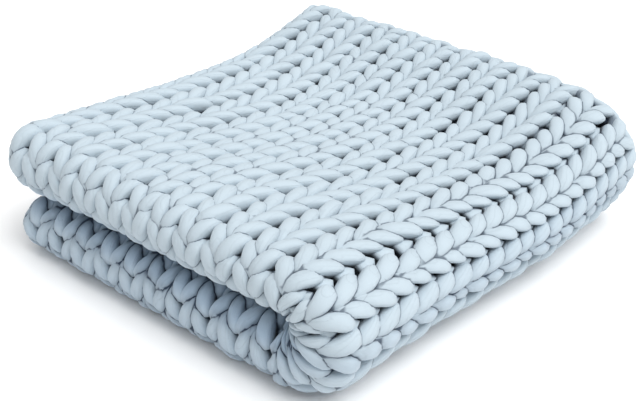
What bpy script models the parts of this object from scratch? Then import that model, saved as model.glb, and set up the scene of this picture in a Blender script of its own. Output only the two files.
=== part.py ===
"""A chunky hand-knitted weighted blanket, folded in half and in half again.

The blanket is one closed body. It is laid out flat first, as a slab whose knit
face has two raised ropes to every wale, and each point is then folded: round
a roll at -Y, round a fat bend at +X, and down under its own weight.
Flat, x runs across the wales and y along them from the cast-off end.
Folded, +X is the bend, -Y the rolls, +Y the four loose ends and +Z is up.
Sizes are in metres.
"""

import math

import bmesh
import bpy

# The knitted sheet
WALE = 0.0508  # one column of stitches, two ropes wide
WALES = 24  # from edge to edge, with half a wale turned in at each edge
SHEET = 0.0435  # one layer, from the crown of its ropes to the purl side
ROPES_PER_WALE = 2
WALE_GROOVE = 0.013  # between two wales
ROPE_GROOVE = 0.006  # between the two ropes of one wale
SELVEDGE = 0.010  # the turned-in edge stands this far outside the last half wale
EDGE_ROUND = 0.018  # how far in the edges begin to thin
EDGE_THICKNESS = 0.40  # what is left at the very edge, of the full thickness

# The folded pile
LAYER_GAP = 0.003  # between the purl sides of one pair of layers
PAIR_GAP = 0.008  # between the upper and the lower pair
RUN = 0.566  # from the roll's centre to the loose ends
ROLL_LENGTH = 0.124  # of the sheet that turns round the roll
BEND_STRETCH = 1.21  # width of the bend over a round one
BEND_WAVE = 0.004  # how much the bend's side wanders in and out
END_BOW = 0.030  # the loose ends bow out by this much
END_BOW_TURN = 0.65 * math.pi  # of the bow's sine, from the open edge to the bend
EDGE_SLANT = 0.010  # the open edge draws in towards the loose ends
END_STEP = 0.010  # an inner layer ends this much short of the outer one
LOWER_INSET = 0.016  # the lower pair's open edge lies this far in

# How the pile has settled
SAG = 0.036  # drop of the top behind the roll
SAG_PLACE = 0.68  # where along the run it is deepest
SAG_POWER = 1.2
OPEN_SIDE_DROP = 0.011  # the gap between the pairs lies lower at the open edge
BEND_SIDE_RISE = 0.008  # and higher beside the bend

# Mesh stations
COLUMNS_PER_ROPE = 2
RIM_STATIONS = (0.0, 0.10, 0.35)  # rounding of an edge, as a share of EDGE_ROUND
RUN_STATIONS = (0.06, 0.16, 0.30, 0.46, 0.62, 0.78, 0.90)  # share of the run
ROLL_STEPS = 8

# Worked out from the above
LAYER_MIDDLE = (SHEET + LAYER_GAP) / 2  # of a layer, from the middle of its pair
PAIR_MIDDLE = SHEET + LAYER_GAP / 2 + PAIR_GAP / 2  # of a pair, from mid height
OUTER_RADIUS = PAIR_MIDDLE + LAYER_MIDDLE  # of the bend, to the outer layer
HEIGHT = 2 * (OUTER_RADIUS + SHEET / 2)
WIDTH = WALE * WALES + 2 * SELVEDGE
FLAT_WIDTH = (WIDTH - math.pi * OUTER_RADIUS) / 2  # from the open edge to the bend
LENGTH = 2 * RUN + ROLL_LENGTH

BLANKET_BLUE = (0.62, 0.73, 0.80, 1.0)


def clear_scene():
    for thing in list(bpy.data.objects):
        bpy.data.objects.remove(thing, do_unlink=True)


def knit_material():
    material = bpy.data.materials.new("knitted_yarn")
    material.use_nodes = True
    shader = material.node_tree.nodes["Principled BSDF"]
    shader.inputs["Base Color"].default_value = BLANKET_BLUE
    shader.inputs["Roughness"].default_value = 0.9
    shader.inputs["Metallic"].default_value = 0.0
    return material


def column_stations():
    """Places across the sheet: the rope crowns, their grooves and the two rims."""
    step = WALE / (ROPES_PER_WALE * COLUMNS_PER_ROPE)
    count = round(WALE * WALES / step)
    rims = [share * EDGE_ROUND for share in RIM_STATIONS]
    ropes = [SELVEDGE + i * step for i in range(count + 1)]
    return rims + ropes + [WIDTH - rim for rim in reversed(rims)]


def row_stations():
    """Places along the sheet: the rims, the two runs and the roll between them."""
    rims = [share * EDGE_ROUND for share in RIM_STATIONS]
    run = rims + [share * RUN for share in RUN_STATIONS]
    roll = [RUN + ROLL_LENGTH * i / ROLL_STEPS for i in range(ROLL_STEPS + 1)]
    return run + roll + [LENGTH - place for place in reversed(run)]


def edge_share(place, total):
    """Thickness near an edge, as a share of the full one: a round rim."""
    inwards = min(place, total - place, EDGE_ROUND) / EDGE_ROUND
    rounded = math.sqrt(1 - (1 - inwards) ** 2)
    return EDGE_THICKNESS + (1 - EDGE_THICKNESS) * rounded


def groove(across):
    """Depth of the knit face below the crown of its ropes."""
    place = (across - SELVEDGE) / WALE - 0.5  # whole numbers fall between two wales
    between_wales = 0.5 + 0.5 * math.cos(2 * math.pi * place)
    off_crown = 0.5 + 0.5 * math.cos(4 * math.pi * place)
    return off_crown * (ROPE_GROOVE + (WALE_GROOVE - ROPE_GROOVE) * between_wales)


def smooth(share):
    share = min(max(share, 0.0), 1.0)
    return share * share * (3 - 2 * share)


def lies_on_floor(across, along):
    """1 on the part of the sheet that the pile stands on, 0 well clear of it."""
    from_bend = across - (WIDTH - FLAT_WIDTH)
    from_roll = RUN - along
    return smooth(from_bend / WALE + 1) * smooth(from_roll / WALE + 1)


def round_the_roll(along, off):
    """First fold: place along +Y, and height over the middle of the pair of layers."""
    reach = LAYER_MIDDLE + off
    if along <= RUN:
        return RUN - along, reach
    if along <= RUN + ROLL_LENGTH:
        turn = math.pi * (along - RUN) / ROLL_LENGTH
        return -reach * math.sin(turn), reach * math.cos(turn)
    return along - RUN - ROLL_LENGTH, -reach


def round_the_bend(across, over, run_share):
    """Second fold: place along +X, and height over the floor."""
    reach = PAIR_MIDDLE + over
    if across <= FLAT_WIDTH:
        return across, HEIGHT / 2 + reach
    if across <= WIDTH - FLAT_WIDTH:
        turn = (across - FLAT_WIDTH) / OUTER_RADIUS
        wave = BEND_WAVE * math.sin(2 * math.pi * run_share)
        stretch = BEND_STRETCH - wave / OUTER_RADIUS
        return FLAT_WIDTH + stretch * reach * math.sin(turn), HEIGHT / 2 + reach * math.cos(turn)
    from_edge = WIDTH - across
    inset = LOWER_INSET * (1 - from_edge / FLAT_WIDTH)
    return from_edge + inset, HEIGHT / 2 - reach


def settled(x, y, z):
    """Height after the pile has sunk under its own weight; the floor stays level."""
    towards_bend = min(max(x / FLAT_WIDTH, 0.0), 1.0)
    parting = HEIGHT / 2 - OPEN_SIDE_DROP + (OPEN_SIDE_DROP + BEND_SIDE_RISE) * towards_bend
    if z < HEIGHT / 2:
        z = z * parting / (HEIGHT / 2)
    else:
        z = parting + (z - HEIGHT / 2) * (HEIGHT - parting) / (HEIGHT / 2)
    along_run = min(max(y / RUN, 0.0), 1.0)
    if along_run < SAG_PLACE:
        share = along_run / SAG_PLACE
    else:
        share = (1 - along_run) / (1 - SAG_PLACE)
    return z * (1 - SAG / HEIGHT * math.sin(math.pi / 2 * share) ** SAG_POWER)


def folded(across, along, off):
    """A point of the flat sheet, `off` out from the middle of its thickness, folded."""
    y, over = round_the_roll(along, off)
    run_share = min(max(y / RUN, 0.0), 1.0)
    x, z = round_the_bend(across, over, run_share)
    towards_bend = max(x / FLAT_WIDTH, 0.0)
    bow = END_BOW * math.sin(END_BOW_TURN * towards_bend)
    y += (bow - END_STEP * (over < 0)) * run_share
    x += EDGE_SLANT * (1 - towards_bend) * run_share**2
    return x, y, settled(x, y, z)


def knit_face(across, along):
    thickness = edge_share(across, WIDTH) * edge_share(along, LENGTH)
    rope = groove(across) * (1 - lies_on_floor(across, along)) * thickness
    return SHEET / 2 * thickness - rope


def purl_face(across, along):
    return -SHEET / 2 * edge_share(across, WIDTH) * edge_share(along, LENGTH)


def add_side(bm, columns, rows, face_of):
    """One side of the sheet: an even grid whose points are set out and then folded."""
    grid = bmesh.ops.create_grid(bm, x_segments=len(columns) - 1, y_segments=len(rows) - 1, size=0.5)
    for vert in grid["verts"]:
        across = columns[round((vert.co.x + 0.5) * (len(columns) - 1))]
        along = rows[round((vert.co.y + 0.5) * (len(rows) - 1))]
        vert.co = folded(across, along, face_of(across, along))
    return grid["verts"]


def stand_on_origin(bm):
    """Moves the pile so that the middle of its footprint is the origin."""
    xs = [vert.co.x for vert in bm.verts]
    ys = [vert.co.y for vert in bm.verts]
    middle = ((min(xs) + max(xs)) / 2, (min(ys) + max(ys)) / 2)
    bmesh.ops.translate(bm, verts=bm.verts, vec=(-middle[0], -middle[1], 0.0))


def build_blanket(material):
    bm = bmesh.new()
    columns, rows = column_stations(), row_stations()
    for face_of in (knit_face, purl_face):
        add_side(bm, columns, rows, face_of)
    rims = [edge for edge in bm.edges if edge.is_boundary]
    bmesh.ops.bridge_loops(bm, edges=rims)
    bmesh.ops.recalc_face_normals(bm, faces=bm.faces)
    stand_on_origin(bm)
    mesh = bpy.data.meshes.new("folded_blanket")
    bm.to_mesh(mesh)
    bm.free()
    mesh.shade_smooth()
    mesh.materials.append(material)
    blanket = bpy.data.objects.new("folded_blanket", mesh)
    bpy.context.scene.collection.objects.link(blanket)
    return blanket


clear_scene()
build_blanket(knit_material())
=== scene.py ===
"""The look of a chunky hand-knitted weighted blanket, folded in half and in half again.

Every course of the knit is one thick tube of yarn that runs from selvedge to
selvedge in loops. The loops are laid out on the flat sheet first, where x runs
across the wales and y along them from the bound-off end, and the finished tubes
are then folded as the solid is: round a roll at -Y and round a fat bend at +X.
Sizes are in metres.
"""

import math
import random

import bmesh
import bpy
import numpy as np
from mathutils import Matrix, Vector

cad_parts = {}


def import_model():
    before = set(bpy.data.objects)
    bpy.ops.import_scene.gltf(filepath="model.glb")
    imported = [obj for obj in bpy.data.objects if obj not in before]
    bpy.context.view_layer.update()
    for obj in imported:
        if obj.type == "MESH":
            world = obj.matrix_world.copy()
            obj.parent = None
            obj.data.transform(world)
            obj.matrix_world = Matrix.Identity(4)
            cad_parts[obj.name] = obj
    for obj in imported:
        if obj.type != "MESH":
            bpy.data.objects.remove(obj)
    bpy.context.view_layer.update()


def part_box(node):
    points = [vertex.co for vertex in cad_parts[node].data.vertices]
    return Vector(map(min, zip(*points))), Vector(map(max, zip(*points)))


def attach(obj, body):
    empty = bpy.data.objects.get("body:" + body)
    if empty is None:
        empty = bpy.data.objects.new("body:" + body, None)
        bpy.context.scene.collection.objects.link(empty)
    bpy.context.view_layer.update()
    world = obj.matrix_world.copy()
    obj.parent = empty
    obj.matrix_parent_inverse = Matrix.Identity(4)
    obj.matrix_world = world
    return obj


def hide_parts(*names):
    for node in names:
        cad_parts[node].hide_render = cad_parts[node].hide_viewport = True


NODE = "folded_blanket"
BODY = "root"

# The knitted sheet
WALE = 0.0508  # one column of stitches, two legs wide
WALES = 24  # from the middle of one selvedge wale to the middle of the other
SHEET = 0.0435  # one layer, from the crown of its legs to the purl side
SELVEDGE = 0.010  # the folded edge stands this far outside a selvedge wale's middle
ROW_AT_ROLL = 0.0385  # from one row to the next beside the roll
ROW_TIGHTENING = 0.026  # rows draw together by this share of their way from the roll
FIRST_HOLE = 0.010  # of the last row of all, from the bound-off end
APEX_SHIFT = 0.2  # rows from a hole between two wales to the foot of a stitch
END_ZONE = 0.022  # closer to an end than this the yarn is drawn inwards,
END_DRAW = 0.32  # by up to this share of what is missing,
DRAW_STARTS = (0.02, 0.09)  # more and more across this stretch from the open edge
DRAW_ENDS = (0.25, 0.36)  # and less and less across this one

# The folded pile
LAYER_GAP = 0.003  # between the purl sides of one pair of layers
PAIR_GAP = 0.008  # between the upper and the lower pair
RUN = 0.566  # from the roll's centre to the loose ends
ROLL_LENGTH = 0.124  # of the sheet that turns round the roll
BEND_STRETCH = 1.21  # width of the bend over a round one
BEND_WAVE = 0.004  # how much the bend's side wanders in and out
END_BOW = 0.030  # the loose ends bow out by this much
END_BOW_TURN = 0.65 * math.pi  # of the bow's sine, from the open edge to the bend
EDGE_SLANT = 0.010  # the open edge draws in towards the loose ends
END_STEP = 0.010  # an inner layer ends this much short of the outer one
LOWER_INSET = 0.016  # the lower pair's open edge lies this far in

# How the pile has settled
SAG = 0.036  # drop of the top behind the roll
SAG_PLACE = 0.68  # where along the run it is deepest
SAG_POWER = 1.2
OPEN_SIDE_DROP = 0.011  # the gap between the pairs lies lower at the open edge
BEND_SIDE_RISE = 0.008  # and higher beside the bend

# Worked out from the above
LAYER_MIDDLE = (SHEET + LAYER_GAP) / 2  # of a layer, from the middle of its pair
PAIR_MIDDLE = SHEET + LAYER_GAP / 2 + PAIR_GAP / 2  # of a pair, from mid height
OUTER_RADIUS = PAIR_MIDDLE + LAYER_MIDDLE  # of the bend, to the outer layer
HEIGHT = 2 * (OUTER_RADIUS + SHEET / 2)
WIDTH = WALE * WALES + 2 * SELVEDGE
FLAT_WIDTH = (WIDTH - math.pi * OUTER_RADIUS) / 2  # from the open edge to the bend
LENGTH = 2 * RUN + ROLL_LENGTH

# One side of a loop, from the back of the wale's edge, up the leg and over to the
# back of the wale's middle. The other side is its mirror image.
# wales out from the middle, rows up from the foot, height over the middle of the
# sheet, half the yarn's width, half its thickness, rings up to the next place
LOOP_SIDE = (
    (0.500, -0.50, -0.0045, 0.0138, 0.0085, 1),
    (0.350, -0.60, -0.0105, 0.0095, 0.0080, 1),
    (0.170, -0.52, -0.0105, 0.0075, 0.0078, 1),
    (0.060, -0.26, -0.0050, 0.0070, 0.0082, 2),
    (0.068, 0.04, 0.0020, 0.0088, 0.0104, 2),
    (0.122, 0.40, 0.0070, 0.0106, 0.0120, 2),
    (0.208, 0.80, 0.0085, 0.0112, 0.0125, 2),
    (0.290, 1.12, 0.0082, 0.0113, 0.0122, 2),
    (0.318, 1.34, 0.0048, 0.0108, 0.0118, 2),
    (0.308, 1.46, -0.0045, 0.0094, 0.0100, 1),
    (0.250, 1.54, -0.0115, 0.0085, 0.0082, 1),
    (0.000, 1.58, -0.0125, 0.0100, 0.0080, 1),
)
SHOWN = (0.0, 1.48)  # rows up between which a leg lies in front
TAUT = 0.010  # the yarn at the back is drawn up by this much round the bend
GATHERED = 0.13  # wales by which the legs keep together there, for each share that it stretches
SPREAD = 1.4  # and is wider there, for each share that the bend stretches
AT_BACK = 0.008  # the yarn is all at the back from this far below the middle of the sheet
RING_ANGLES = (0, 18, 38, 62, 90, 118, 142, 162, 180, 216, 252, 288, 324, 360)  # degrees round the yarn
SQUARENESS = 3.0  # of the yarn's section: 2 is an ellipse

# The chain that closes an end: the same loops, lying along the end
CHAIN_WIDTH = 0.030  # of the chain, for one wale's width of the loop
CHAIN_FULLNESS = 0.8  # of its yarn, against that of the loops
CHAIN_DROP = 0.006  # its middle lies this far to the purl side
CHAIN_SHIFT = 0.5  # wales from a link's foot to the wale that it closes
CROWDED = 0.022  # closer to a corner than this the links crowd together,
CROWDING = 0.2  # down to this share of their length

# The curled selvedge
CURL_START = 0.018  # how far inside the edge the sheet begins to turn under
CURL_RADIUS = 0.014  # of the turn, half way up the sheet
CURL_REACH = 0.8  # radians in which the sheet's back closes up
CURL_CORE = 0.002  # from the turn's middle to the closed-up back

# Unevenness of the hand's work
SEED = 24
PLACE_WANDER = 0.0016  # of a leg, across and along
HEIGHT_WANDER = 0.0009  # of a leg, in and out of the sheet
FULLNESS_WANDER = 0.055  # of the yarn's thickness, as a share
SLIMMING = 0.20  # the yarn is thinner by this share at the loose ends, where rows are close
# Wales that wander: wale, way from the roll, wales to the side, reach in wales and along
WANDERS = (
    (2.7, 0.28, 0.60, 2.4, 0.17),
    (7.0, 0.09, -0.48, 2.0, 0.09),
    (9.8, 0.52, 0.28, 1.5, 0.20),
)

# Clearance between the yarns
CLEAR = 0.008  # to the next yarn, past which nothing is pressed
REACH = 0.034  # between the middles of two yarns that can press each other
RING_GAP = 0.006  # from one ring of points to the next
PLACES_NEAR = 18  # places along the next yarn, either way, that a place can touch
OWN_STRETCH = 5  # places along its own yarn that don't count as touching
CORE = 0.1  # share of the yarn's section in which all places lie equally deep

# The meshes
ROWS_TOGETHER = 9  # courses joined in one object
WELD = 1e-6  # points closer than this are one

# Light and colour
BLANKET_BLUE = (0.455, 0.538, 0.596, 1)
SHADED_BLUE = (0.330, 0.430, 0.540, 1)  # where the pile keeps the light off
# painted shade: the dark blue that the seams, holes and creases between the yarns are darkened towards
PAINTED_SHADE_BLUE = (0.022, 0.040, 0.072, 1)
ZENITH = 1.06  # strength of the even light from straight above
HORIZON = 0.26  # and from the side
WINDOW = 2.4  # strength of the wide soft light
WINDOW_SIDE = (0.70, 0.10, 1.20)  # it comes from over there
WINDOW_WIDTH = math.radians(50)

# Shelter from the light
LIT_HEIGHT = 0.135  # from here up the pile lies open to the light
LOW_SHARE = 0.5  # of the shelter, on the floor
LIT_SIDE = (0.20, 0.28)  # across this stretch the bend comes out into the light
LIT_SHARE = 0.7  # and loses this share of its shelter
SLOT_HEIGHT = 0.082  # of the slot between the upper and the lower pair
SLOT_REACH = 0.022  # how far up and down it is dark

# Painted shade in the seams and holes between the yarns: clearances, depths below the crown and darknesses
PRESSED_IN = -0.0006  # yarns pressed this far into each other get the darkest painted shade
SEAM_WIDTH = 0.0010  # clearance up to which a seam is painted dark,
SEAM_IN_HOLE = 0.0032  # more of it in a hole
SEAM_IN_SHELTER = 0.0012  # and more of it out of the light
PAINTED_SEAM_DARKNESS = 0.66  # of the painted shade in a seam at the crown
HOLE_DEPTHS = (0.008, 0.018)  # between these a hole begins
NEAR_PAINTED_SHADE = 0.07  # of the painted shade beside a yarn that only comes near,
NEAR_IN_SHELTER = 0.41  # more of it out of the light
BOTTOM_DEPTHS = (0.012, 0.024)  # and between these its bottom
HOLE_BOTTOM_PAINTED_SHADE = 0.72

# The jersey: waves to the metre, how far drawn out along the yarn, shades and heights
PATCH_SCALE = 9.0
PATCH_SHADE = 0.06
GRAIN_SCALE = 900.0
GRAIN_DRAWN_OUT = 5.0
GRAIN_SHADE = 0.06
GRAIN_HEIGHT = 0.0003
LUMP_SCALE = 70.0
LUMP_HEIGHT = 0.0006
CREASE_SCALE = 70.0
CREASE_DRAWN_OUT = 5.0
CREASE_WIDTH = 0.022  # share of the way between two creases
# painted shade in a crease
CREASE_PAINTED_SHADE = 0.05
CREASE_HEIGHT = 0.0003

# The room
FLOOR_REACH = 6.0
FLOOR_WHITE = (0.97, 0.97, 0.97, 1)

# The camera, from the low corner of the blanket at -X and -Y
CAMERA_RIGHT = 1.5366
CAMERA_BACK = 1.0351
CAMERA_HEIGHT = 1.154
CAMERA_TILT = math.radians(59.1)
CAMERA_HEADING = math.radians(42.5125)
CAMERA_LENS = 85.18  # millimetres, for a sensor of
CAMERA_SENSOR = 36.0


def smooth(share):
    share = np.clip(share, 0.0, 1.0)
    return share * share * (3 - 2 * share)


def hole_places():
    """Where the holes of each row lie along the sheet, from the bound-off end."""
    places = [FIRST_HOLE]
    while places[-1] < LENGTH:
        from_roll = max(RUN - places[-1], places[-1] - RUN - ROLL_LENGTH, 0.0)
        places.append(places[-1] + ROW_AT_ROLL - ROW_TIGHTENING * from_roll)
    return np.array(places)


HOLES = hole_places()
ROWS = len(HOLES) - 1


def along_of(rows):
    """Place along the sheet of a row number, counted up from the cast-on end."""
    down = ROWS - np.asarray(rows, float)
    inside = np.interp(down, np.arange(len(HOLES)), HOLES)
    before = HOLES[0] + (HOLES[1] - HOLES[0]) * down
    after = HOLES[-1] + (HOLES[-1] - HOLES[-2]) * (down - ROWS)
    return np.where(down < 0, before, np.where(down > ROWS, after, inside))


def end_draw(across):
    """How much the chain draws the end in, as a share of what is missing."""
    from_edge = np.minimum(across, WIDTH - across)
    start = smooth((from_edge - DRAW_STARTS[0]) / (DRAW_STARTS[1] - DRAW_STARTS[0]))
    end = smooth((from_edge - DRAW_ENDS[0]) / (DRAW_ENDS[1] - DRAW_ENDS[0]))
    return END_DRAW * start * (1 - end)


def drawn_in(along, across):
    """Place along the sheet of yarn that the chain at a near end draws inwards."""
    missing = np.maximum(END_ZONE - np.minimum(along, LENGTH - along), 0.0)
    return along + np.where(along < LENGTH / 2, missing, -missing) * end_draw(across)


def curled(across, off):
    """Turns the half wale outside each selvedge under the sheet."""
    for side in (0, 1):
        from_edge = across if side == 0 else WIDTH - across
        turn = np.maximum(CURL_START - from_edge, 0.0) / CURL_RADIUS
        closed = CURL_CORE + (off + SHEET / 2) * (SHEET / 2 - CURL_CORE) / SHEET
        share = smooth(turn / CURL_REACH)
        reach = off * (1 - share) + closed * share
        turned = CURL_START - reach * np.sin(turn)
        from_edge = np.where(turn > 0, turned, from_edge)
        off = np.where(turn > 0, reach * np.cos(turn), off)
        across = from_edge if side == 0 else WIDTH - from_edge
    return across, off


def round_the_roll(along, off):
    """First fold: place along +Y, and height over the middle of the pair of layers."""
    reach = LAYER_MIDDLE + off
    turn = np.clip(math.pi * (along - RUN) / ROLL_LENGTH, 0.0, math.pi)
    run = np.maximum(RUN - along, along - RUN - ROLL_LENGTH)
    return np.where(run > 0, run, -reach * np.sin(turn)), reach * np.cos(turn)


def round_the_bend(across, over, run_share):
    """Second fold: place along +X, and height over the floor."""
    reach = PAIR_MIDDLE + over
    turn = np.clip((across - FLAT_WIDTH) / OUTER_RADIUS, 0.0, math.pi)
    stretch = BEND_STRETCH - BEND_WAVE * np.sin(2 * math.pi * run_share) / OUTER_RADIUS
    from_edge = WIDTH - across
    lower = from_edge + LOWER_INSET * (1 - from_edge / FLAT_WIDTH)
    bend = FLAT_WIDTH + stretch * reach * np.sin(turn)
    x = np.where(across <= FLAT_WIDTH, across, np.where(from_edge <= FLAT_WIDTH, lower, bend))
    return x, HEIGHT / 2 + reach * np.cos(turn)


def settled(x, y, z):
    """Height after the pile has sunk under its own weight; the floor stays level."""
    towards_bend = np.clip(x / FLAT_WIDTH, 0.0, 1.0)
    parting = HEIGHT / 2 - OPEN_SIDE_DROP + (OPEN_SIDE_DROP + BEND_SIDE_RISE) * towards_bend
    low = z * parting / (HEIGHT / 2)
    high = parting + (z - HEIGHT / 2) * (HEIGHT - parting) / (HEIGHT / 2)
    z = np.where(z < HEIGHT / 2, low, high)
    along_run = np.clip(y / RUN, 0.0, 1.0)
    share = np.minimum(along_run / SAG_PLACE, (1 - along_run) / (1 - SAG_PLACE))
    return z * (1 - SAG / HEIGHT * np.sin(math.pi / 2 * share) ** SAG_POWER)


def folded(points):
    """Points of the flat sheet (across, along, off), folded into the pile."""
    across, off = curled(points[..., 0], points[..., 2])
    y, over = round_the_roll(points[..., 1], off)
    run_share = np.clip(y / RUN, 0.0, 1.0)
    x, z = round_the_bend(across, over, run_share)
    towards_bend = np.maximum(x / FLAT_WIDTH, 0.0)
    bow = END_BOW * np.sin(END_BOW_TURN * towards_bend)
    y = y + (bow - END_STEP * (over < 0)) * run_share
    x = x + EDGE_SLANT * (1 - towards_bend) * run_share**2
    z = np.maximum(settled(x, y, z), 0.0)
    low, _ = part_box(NODE)
    roll_line = low.y + LAYER_MIDDLE + SHEET / 2
    return np.stack([low.x + x, roll_line + y, z], -1)


def sheltered(points):
    """How much of the light the pile keeps off a place: 0 on top, 1 in the slot."""
    low_down = LOW_SHARE * smooth((LIT_HEIGHT - points[..., 2]) / LIT_HEIGHT)
    slot = np.exp(-(((points[..., 2] - SLOT_HEIGHT) / SLOT_REACH) ** 2))
    open_to_window = smooth((points[..., 0] - LIT_SIDE[0]) / (LIT_SIDE[1] - LIT_SIDE[0]))
    return np.maximum(low_down, slot) * (1 - LIT_SHARE * open_to_window)


def loop_places(count, chance):
    """The places of a course of loops: wales, rows, off, half width, half thickness, rings."""
    places = []
    first_shown, last_shown = SHOWN
    for stitch in range(count):
        for side, table in ((-1, LOOP_SIDE), (1, LOOP_SIDE[::-1])):
            move = chance.gauss(0, PLACE_WANDER), chance.gauss(0, PLACE_WANDER)
            lift = chance.gauss(0, HEIGHT_WANDER)
            full = chance.gauss(0, FULLNESS_WANDER)
            for out, up, off, wide, thick, rings in table[1:] if places else table:
                shown = first_shown < up < last_shown
                places.append((
                    stitch + side * out + shown * move[0] / WALE,
                    up + shown * move[1] / ROW_AT_ROLL,
                    off + shown * lift,
                    wide * (1 + shown * full),
                    thick * (1 + shown * full),
                    rings,
                ))
    return places


def spun(places):
    """A smooth line through all the places, with rings as close as each place asks for."""
    table = np.array([place[:5] for place in places])
    padded = np.vstack([2 * table[0] - table[1], table, 2 * table[-1] - table[-2]])
    line = []
    for i in range(len(table) - 1):
        before, here, there, after = padded[i : i + 4]
        steps = min(places[i][5], places[i + 1][5])
        for share in np.arange(steps) / steps:
            line.append(0.5 * (
                2 * here
                + (there - before) * share
                + (2 * before - 5 * here + 4 * there - after) * share**2
                + (3 * here - before - 3 * there + after) * share**3
            ))
    line.append(table[-1])
    return np.array(line)


def bend_stretch(across):
    """How far the bend draws the wales apart, against the flat sheet."""
    turn = np.clip((across - FLAT_WIDTH) / OUTER_RADIUS, 0.0, math.pi)
    to_legs = OUTER_RADIUS + SHEET / 4
    drawn = to_legs / OUTER_RADIUS * np.hypot(BEND_STRETCH * np.cos(turn), np.sin(turn))
    return np.where((turn > 0) & (turn < math.pi), np.sqrt(drawn), 1.0)


def wandered(wales, from_roll):
    """How far the hand has let the wales drift, in wales towards the bend."""
    lower = wales > WALES / 2
    near = np.where(lower, WALES - wales, wales)
    drift = np.zeros_like(wales)
    for wale, place, size, reach, reach_along in WANDERS:
        drift += size * np.exp(-(((near - wale) / reach) ** 2) - ((from_roll - place) / reach_along) ** 2)
    return np.where(lower, -drift, drift)


def course(row, chance):
    """Centre line of one course of the knit, on the flat sheet."""
    line = spun(loop_places(WALES + 1, chance))
    across = SELVEDGE + WALE * line[:, 0]
    line[:, 1] = drawn_in(along_of(row + APEX_SHIFT + line[:, 1]), across)
    from_roll = np.maximum(RUN - line[:, 1], line[:, 1] - RUN - ROLL_LENGTH)
    drift = wandered(line[:, 0], np.maximum(from_roll, 0.0))
    drawn = bend_stretch(SELVEDGE + WALE * (line[:, 0] + drift)) - 1
    gathered = GATHERED * drawn * np.sin(2 * math.pi * line[:, 0])
    line[:, 0] = SELVEDGE + WALE * (line[:, 0] + drift - gathered)
    behind = smooth(-line[:, 2] / AT_BACK) * (drawn > 0)
    line[:, 2] += TAUT * behind
    line[:, 3] *= 1 + SPREAD * drawn * behind
    line[:, 3:] *= 1 - SLIMMING * np.clip(from_roll / RUN, 0.0, 1.0)[:, None]
    return line


def frames(lines):
    """Unit vectors ahead, sideways and outwards along flat centre lines."""
    ahead = np.gradient(lines[..., :3], axis=-2)
    ahead /= np.linalg.norm(ahead, axis=-1, keepdims=True)
    side = np.stack([-ahead[..., 1], ahead[..., 0], np.zeros(ahead.shape[:-1])], -1)
    side /= np.linalg.norm(side, axis=-1, keepdims=True)
    return ahead, side, np.cross(ahead, side)


def tubes(lines):
    """Rings of points round flat centre lines (across, along, off, width, thickness)."""
    _, side, out = frames(lines)
    turn = np.radians(RING_ANGLES)
    wide = np.sign(np.cos(turn)) * np.abs(np.cos(turn)) ** (2 / SQUARENESS)
    thick = np.sign(np.sin(turn)) * np.abs(np.sin(turn)) ** (2 / SQUARENESS)
    reach = (
        lines[..., None, 3, None] * wide[:, None] * side[..., None, :]
        + lines[..., None, 4, None] * thick[:, None] * out[..., None, :]
    )
    reach[..., 0] /= bend_stretch(lines[..., 0])[..., None]
    rings = lines[..., None, :3] + reach
    rings[..., 0, :, :] = lines[..., 0, None, :3]
    rings[..., -1, :, :] = lines[..., -1, None, :3]
    return rings


def shifted(table, rows, places):
    """The table with each entry replaced by the one so many rows and places on."""
    return np.roll(table, (-rows, -places), (0, 1))


def clearances(lines, points):
    """Distance from each point to the nearest yarn but its own stretch, up to CLEAR."""
    lines, points = lines.astype(np.float32), points.astype(np.float32)
    ahead, side, out = frames(lines)
    nearest = np.full(points.shape[:3], CLEAR, np.float32)
    for rows in (-1, 0, 1):
        for places in range(-PLACES_NEAR, PLACES_NEAR + 1):
            if rows == 0 and abs(places) < OWN_STRETCH:
                continue
            other = shifted(lines, rows, places)
            near = np.linalg.norm(other[..., :3] - lines[..., :3], axis=-1) < REACH
            gap = points[near] - other[near][:, None, :3]

            def along_axis(axis):
                return (gap * shifted(axis, rows, places)[near][:, None]).sum(-1)

            size = other[near][:, None]
            wide = np.abs(along_axis(side)) / size[..., 3]
            thick = np.abs(along_axis(out)) / size[..., 4]
            past = np.maximum(np.abs(along_axis(ahead)) - RING_GAP / 2, 0.0)
            round_it = (wide**SQUARENESS + thick**SQUARENESS) ** (1 / SQUARENESS)
            from_middle = np.hypot(wide * size[..., 3], thick * size[..., 4])
            away = from_middle * (1 - 1 / np.maximum(round_it, CORE))
            away = np.where(past > 0, np.hypot(np.maximum(away, 0.0), past), away)
            nearest[near] = np.minimum(nearest[near], away)
    return nearest


def chain(end, inwards, chance):
    """The links that close one end: rings on the flat sheet, their depths and clearances."""
    links = []
    for link in range(WALES):
        line = spun(loop_places(1, chance))
        across = SELVEDGE + WALE * (link + line[:, 1] - CHAIN_SHIFT)
        line[:, 1] = np.where(across < CROWDED, CROWDED - (CROWDED - across) * CROWDING, across)
        line[:, 0] *= CHAIN_WIDTH
        line[:, 3:] *= CHAIN_FULLNESS
        links.append(line)
    rings = tubes(np.array(links))
    clear = clearances(np.array(links), rings)
    inside = END_ZONE * end_draw(rings[..., 1])
    along = end + inwards * (inside - rings[..., 2])
    flat = np.stack([rings[..., 1], along, rings[..., 0] - CHAIN_DROP], -1)
    return flat, SHEET / 2 - rings[..., 2], clear


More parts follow.
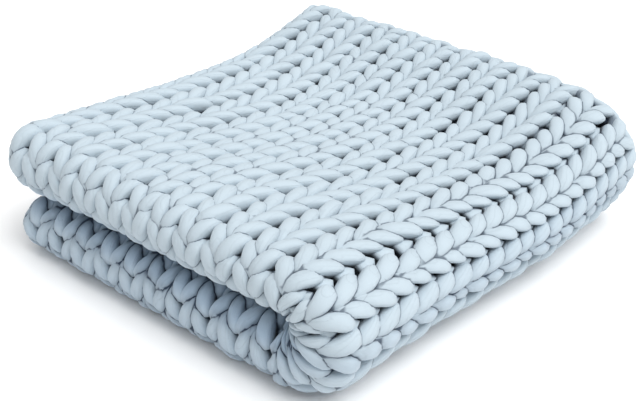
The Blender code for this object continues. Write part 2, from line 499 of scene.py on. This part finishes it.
def yarn_object(name, rings, depth, clear, material):
    """One mesh of closed tubes from their flat rings, folded into the pile."""
    bm = bmesh.new()
    bm.loops.layers.uv.new("yarn")
    count, length, around, _ = rings.shape
    for number in range(count):
        bmesh.ops.create_grid(
            bm,
            x_segments=around - 1,
            y_segments=length - 1,
            size=0.5,
            matrix=Matrix.Translation((0, 0, number)),
            calc_uvs=True,
        )
    mesh = bpy.data.meshes.new(name)
    bm.to_mesh(mesh)
    bm.free()
    found = np.empty(len(mesh.vertices) * 3)
    mesh.vertices.foreach_get("co", found)
    found = found.reshape(-1, 3)
    place = (
        np.rint(found[:, 2]).astype(int),
        np.rint((found[:, 1] + 0.5) * (length - 1)).astype(int),
        np.rint((found[:, 0] + 0.5) * (around - 1)).astype(int),
    )
    placed = folded(rings[place])
    mesh.vertices.foreach_set("co", placed.ravel())
    layer = mesh.uv_layers["yarn"].data
    spread = np.empty(len(layer) * 2)
    layer.foreach_get("uv", spread)
    girth = np.linalg.norm(np.diff(rings[0], axis=1), axis=-1).sum(1).mean()
    reach = np.linalg.norm(np.diff(rings[0].mean(1), axis=0), axis=-1).sum()
    layer.foreach_set("uv", (spread.reshape(-1, 2) * (girth, reach)).ravel())
    made = {
        "depth": depth[place],
        "clear": clear[place],
        "shelter": sheltered(placed),
    }
    for label, values in made.items():
        attribute = mesh.attributes.new(label, "FLOAT", "POINT")
        attribute.data.foreach_set("value", values.astype(np.float32))
    bm = bmesh.new()
    bm.from_mesh(mesh)
    bmesh.ops.remove_doubles(bm, verts=bm.verts, dist=WELD)
    bmesh.ops.recalc_face_normals(bm, faces=bm.faces)
    bm.to_mesh(mesh)
    bm.free()
    mesh.shade_smooth()
    mesh.materials.append(material)
    yarn = bpy.data.objects.new(name, mesh)
    bpy.context.scene.collection.objects.link(yarn)
    return yarn


class Value:
    """A socket of a material, so that its maths reads as sums."""

    def __init__(self, tree, socket):
        self.tree, self.socket = tree, socket

    def math(self, operation, *values):
        return node(self.tree, "ShaderNodeMath", {"operation": operation}, dict(enumerate(values)))

    def size(self):
        return self.math("ABSOLUTE", self)

    def at_least(self, other):
        return self.math("MAXIMUM", self, other)

    def __add__(self, other):
        return self.math("ADD", self, other)

    def __mul__(self, other):
        return self.math("MULTIPLY", self, other)

    def __sub__(self, other):
        return self.math("SUBTRACT", self, other)

    def __rsub__(self, other):
        return self.math("SUBTRACT", other, self)

    __radd__ = __add__
    __rmul__ = __mul__


def node(tree, kind, settings, values, output=0):
    """Adds a node, sets it up, fills its sockets and returns one of its outputs."""
    made = tree.nodes.new(kind)
    for name, value in settings.items():
        setattr(made, name, value)
    for name, value in values.items():
        if isinstance(value, Value):
            tree.links.new(value.socket, made.inputs[name])
        else:
            made.inputs[name].default_value = value
    return Value(tree, made.outputs[output])


def eased(tree, value, low, high):
    """0 below low, 1 above high and a smooth rise between them."""
    ends = {"Value": value, "From Min": low, "From Max": high, "To Min": 0.0, "To Max": 1.0}
    return node(tree, "ShaderNodeMapRange", {"interpolation_type": "SMOOTHSTEP"}, ends)


def yarn_material():
    """Soft cotton jersey over a round filling, with painted shade in its seams, holes and creases and where
    the pile keeps the light off.
    """
    material = bpy.data.materials.new("pale_blue_jersey")
    material.use_nodes = True
    tree = material.node_tree
    shader = tree.nodes["Principled BSDF"]
    place = node(tree, "ShaderNodeTexCoord", {}, {}, "Object")
    along_yarn = node(tree, "ShaderNodeUVMap", {"uv_map": "yarn"}, {})
    depth = node(tree, "ShaderNodeAttribute", {"attribute_name": "depth"}, {}, "Fac")
    clear = node(tree, "ShaderNodeAttribute", {"attribute_name": "clear"}, {}, "Fac")
    shelter = node(tree, "ShaderNodeAttribute", {"attribute_name": "shelter"}, {}, "Fac")

    def noise(where, scale, detail, drawn_out=1.0):
        """Noise over the piece, drawn out along the yarn where that is asked for."""
        shares = {0: where, 1: (1.0, 1 / drawn_out, 1.0)}
        stretched = node(tree, "ShaderNodeVectorMath", {"operation": "MULTIPLY"}, shares)
        return node(tree, "ShaderNodeTexNoise", {}, {"Vector": stretched, "Scale": scale, "Detail": detail})

    def mixed(share, low, high):
        """One colour where the share is 0 and another where it is 1."""
        values = {"Factor": share, "A": low, "B": high}
        return node(tree, "ShaderNodeMix", {"data_type": "RGBA"}, values, "Result")

    patches = noise(place, PATCH_SCALE, 2.0)
    grain = noise(along_yarn, GRAIN_SCALE, 1.0, GRAIN_DRAWN_OUT)
    lumps = noise(place, LUMP_SCALE, 2.0)
    folds = noise(along_yarn, CREASE_SCALE, 1.0, CREASE_DRAWN_OUT)
    creases = 1 - eased(tree, (folds - 0.5).size(), 0.0, CREASE_WIDTH)

    # how far down into a hole a place lies, which deepens its painted shade
    hole = eased(tree, depth, *HOLE_DEPTHS)
    bottom = eased(tree, depth, *BOTTOM_DEPTHS)
    near = 1 - eased(tree, clear, 0.0, CLEAR)
    # painted shade along the seams where yarns press together, wider and darker in holes and out of the
    # light
    seam_width = SEAM_WIDTH + hole * SEAM_IN_HOLE + shelter * SEAM_IN_SHELTER
    painted_seam_darkness = PAINTED_SEAM_DARKNESS + hole.at_least(shelter) * (1 - PAINTED_SEAM_DARKNESS)
    painted_seam_shade = (1 - eased(tree, clear, PRESSED_IN, seam_width)) * painted_seam_darkness
    # painted shade beside yarns that come near, stronger out of the light
    tone_and_painted_shade = 1 - painted_seam_shade - near * (NEAR_PAINTED_SHADE + shelter * NEAR_IN_SHELTER)
    # painted shade at the bottoms of holes
    tone_and_painted_shade = tone_and_painted_shade * (1 - bottom * HOLE_BOTTOM_PAINTED_SHADE)
    tone_and_painted_shade = tone_and_painted_shade * (1 + (patches - 0.5) * PATCH_SHADE)
    # painted shade in the creases; the grain is the yarn's own tone
    tone_and_painted_shade = tone_and_painted_shade - creases * CREASE_PAINTED_SHADE + (grain - 0.5) * GRAIN_SHADE
    # the painted shade darkens the colour towards a dark blue; out of the light the colour is first mixed
    # towards a paler shaded blue
    colour = mixed(tone_and_painted_shade, PAINTED_SHADE_BLUE, mixed(shelter, BLANKET_BLUE, SHADED_BLUE))
    tree.links.new(colour.socket, shader.inputs["Base Color"])

    relief = grain * GRAIN_HEIGHT + lumps * LUMP_HEIGHT - creases * CREASE_HEIGHT
    bump = node(tree, "ShaderNodeBump", {}, {"Height": relief, "Strength": 0.8, "Distance": 1.0})
    tree.links.new(bump.socket, shader.inputs["Normal"])
    shader.inputs["Roughness"].default_value = 0.85
    shader.inputs["Sheen Weight"].default_value = 0.12
    shader.inputs["Sheen Roughness"].default_value = 0.5
    return material


def floor_material():
    material = bpy.data.materials.new("pale_floor")
    material.use_nodes = True
    shader = material.node_tree.nodes["Principled BSDF"]
    shader.inputs["Base Color"].default_value = FLOOR_WHITE
    shader.inputs["Roughness"].default_value = 0.8
    return material


def add_floor():
    bm = bmesh.new()
    bmesh.ops.create_grid(bm, x_segments=1, y_segments=1, size=FLOOR_REACH)
    mesh = bpy.data.meshes.new("studio_floor")
    bm.to_mesh(mesh)
    bm.free()
    mesh.materials.append(floor_material())
    floor = bpy.data.objects.new("studio_floor", mesh)
    bpy.context.scene.collection.objects.link(floor)


def add_lights():
    world = bpy.data.worlds.new("studio")
    world.use_nodes = True
    tree = world.node_tree
    background = tree.nodes["Background"]
    background.inputs["Color"].default_value = (1.0, 1.0, 1.0, 1)
    towards = node(tree, "ShaderNodeTexCoord", {}, {}, "Generated")
    upwards = node(tree, "ShaderNodeSeparateXYZ", {}, {"Vector": towards}, "Z")
    strength = HORIZON + upwards.at_least(0.0) * (ZENITH - HORIZON)
    tree.links.new(strength.socket, background.inputs["Strength"])
    bpy.context.scene.world = world
    bpy.context.scene.view_settings.view_transform = "Standard"
    light = bpy.data.lights.new("window", "SUN")
    light.energy = WINDOW
    light.angle = WINDOW_WIDTH
    lamp = bpy.data.objects.new("window", light)
    lamp.rotation_euler = Vector(WINDOW_SIDE).to_track_quat("Z", "Y").to_euler()
    bpy.context.scene.collection.objects.link(lamp)


def add_camera():
    low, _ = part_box(NODE)
    camera = bpy.data.cameras.new("camera")
    camera.lens = CAMERA_LENS
    camera.sensor_width = CAMERA_SENSOR
    view = bpy.data.objects.new("camera", camera)
    view.location = (low.x + CAMERA_RIGHT, low.y - CAMERA_BACK, CAMERA_HEIGHT)
    view.rotation_euler = (CAMERA_TILT, 0, CAMERA_HEADING)
    bpy.context.scene.collection.objects.link(view)
    bpy.context.scene.camera = view


def main():
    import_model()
    add_camera()
    add_lights()
    add_floor()
    material = yarn_material()
    chance = random.Random(SEED)
    lines = np.array([course(row, chance) for row in range(1, ROWS)])
    rings = tubes(lines)
    clear = clearances(lines, rings)
    depth = SHEET / 2 - rings[..., 2]
    pieces = {}
    for first in range(0, len(lines), ROWS_TOGETHER):
        some = slice(first, first + ROWS_TOGETHER)
        pieces[f"courses_from_{first + 1}"] = rings[some], depth[some], clear[some]
    pieces["bound_off_chain"] = chain(0.0, 1, chance)
    pieces["cast_on_chain"] = chain(LENGTH, -1, chance)
    for name, parts in pieces.items():
        yarn = yarn_object(name, *parts, material)
        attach(yarn, BODY)
        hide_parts(NODE)
    bpy.context.view_layer.update()


main()
